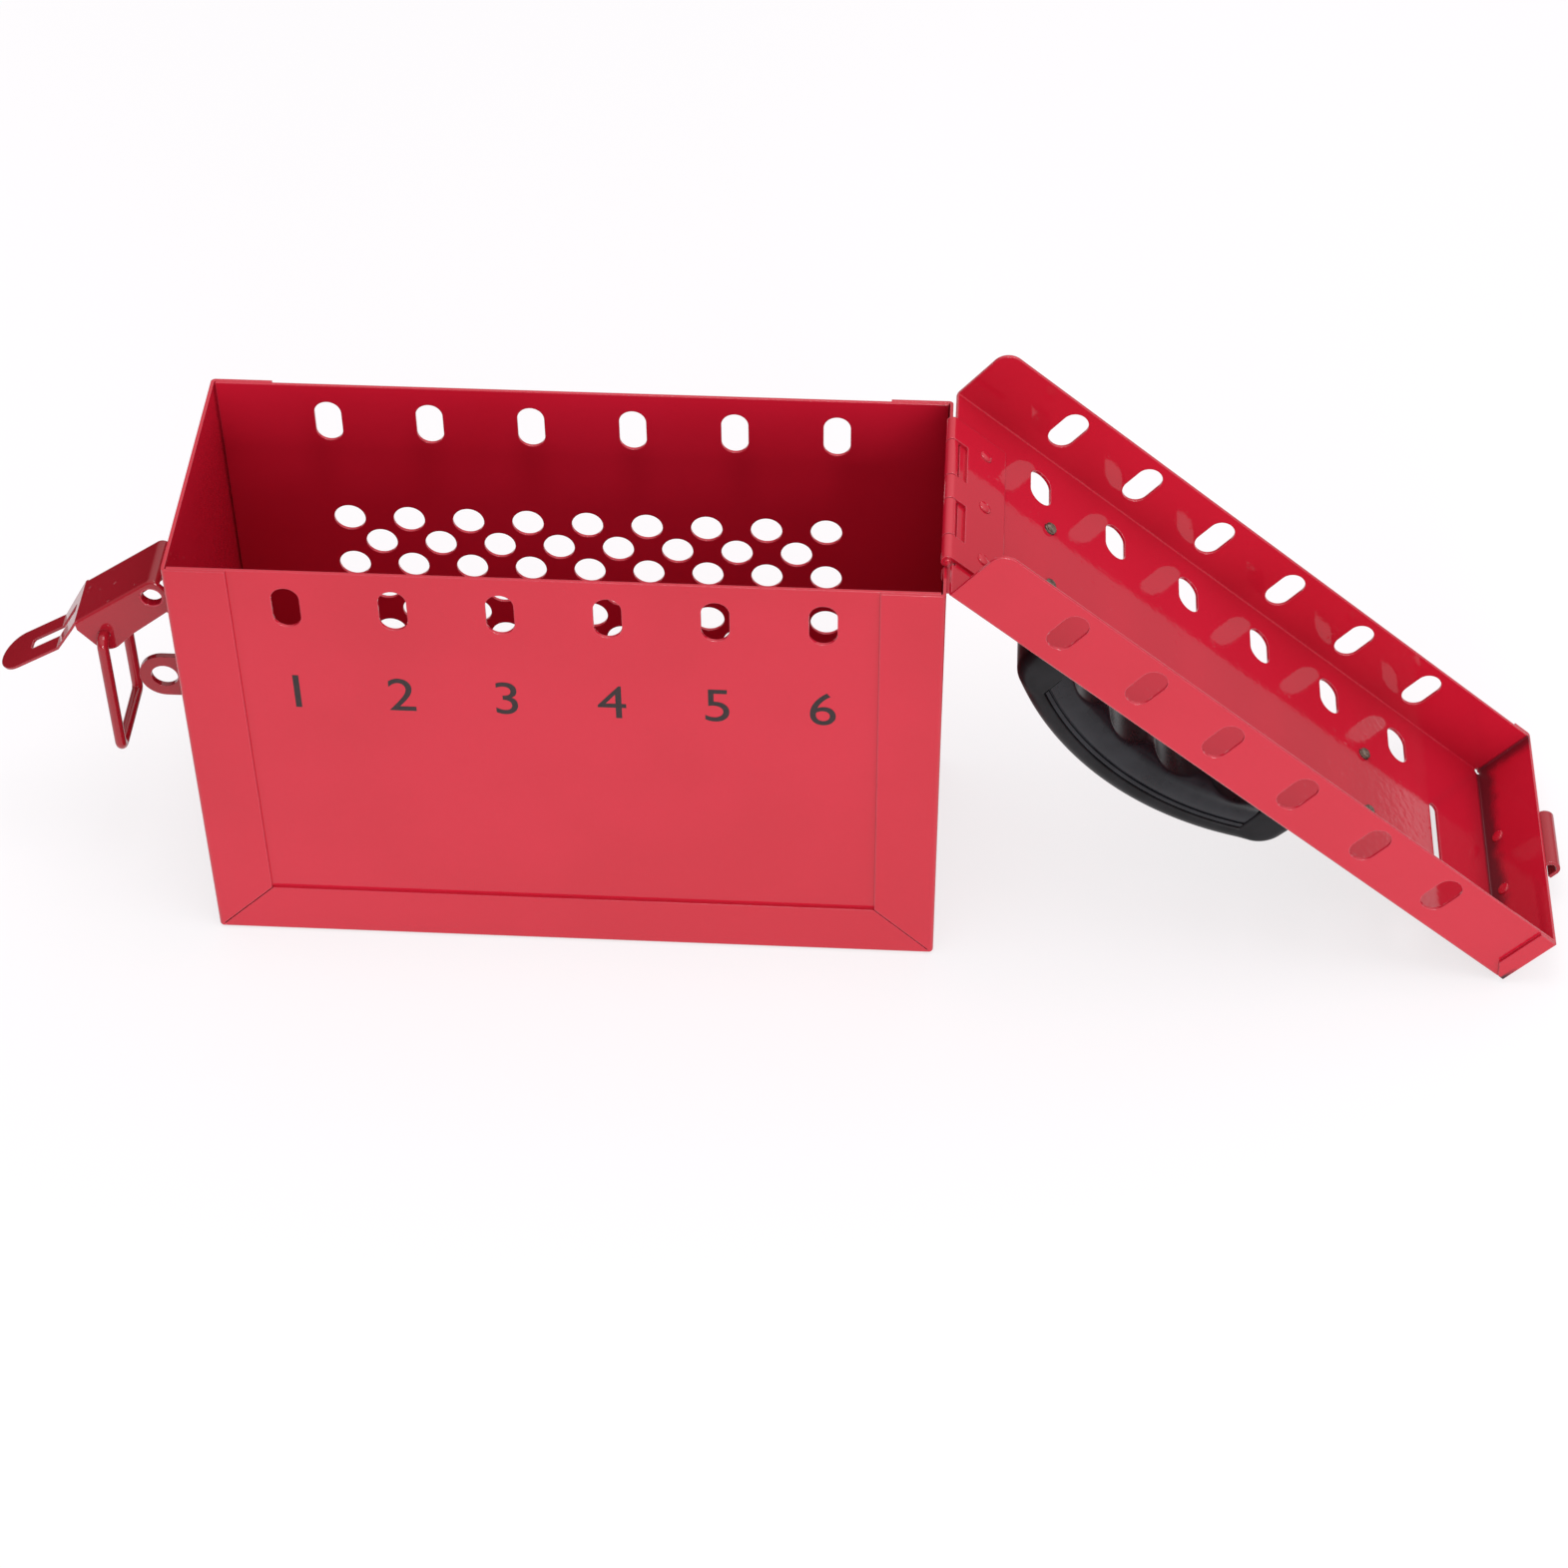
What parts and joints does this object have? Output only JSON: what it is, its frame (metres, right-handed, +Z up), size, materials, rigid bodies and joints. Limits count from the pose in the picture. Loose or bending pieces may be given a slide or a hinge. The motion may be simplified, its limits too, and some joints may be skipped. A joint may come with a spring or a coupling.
{
  "type": "group lockout box",
  "caption": "Portable sheet steel lock box: slotted body with a staggered hole window, hinged slotted lid with carry handle, and a draw latch with padlock eye.",
  "frame": {"origin": "middle of the body's underside", "axes": "+X along the box from latch to hinge, +Y to the back with the hole window, +Z up"},
  "size_m": [0.4984, 0.0968, 0.1679],
  "materials": {
    "red_paint": "glossy powder coat",
    "black_moulding": "glossy moulded",
    "soft_grip": "soft moulded",
    "screw_steel": "zinc plated"
  },
  "bodies": {
    "body": {"body_wrap": "red_paint", "front_panel": "red_paint", "back_panel": "red_paint", "hinge_body_leaf": "red_paint", "hinge_body_rivets": "red_paint", "hinge_pin": "red_paint", "latch_base": "red_paint", "lever_eyelets": "red_paint", "latch_eye": "red_paint"},
    "lid": {"lid_shell": "red_paint", "hinge_lid_leaf": "red_paint", "hinge_lid_rivets": "red_paint", "handle_grip": "black_moulding", "handle_pad": "soft_grip", "handle_screws": "screw_steel", "lid_keeper": "red_paint", "keeper_rivets": "red_paint"},
    "lever": {"latch_lever": "red_paint"},
    "bail": {"bail_wire": "red_paint"}
  },
  "joints": [
    {"name": "lid_hinge", "type": "hinge", "parent": "body", "child": "lid", "pos_m": [0.115, 0, 0.1533], "axis": [0, -1, 0], "range_deg": [0, 220.45]},
    {"name": "lever_pivot", "type": "hinge", "parent": "body", "child": "lever", "pos_m": [-0.1294, 0, 0.1092], "axis": [0, -1, 0], "range_deg": [-30, 55]},
    {"name": "bail_pivot", "type": "hinge", "parent": "lever", "child": "bail", "pos_m": [-0.14618, 0, 0.09342], "axis": [0, -1, 0], "range_deg": [-50, 28]}
  ],
  "couplings": [
    {"joint": "bail_pivot", "follows": "lever_pivot", "ratio": -0.9}
  ]
}
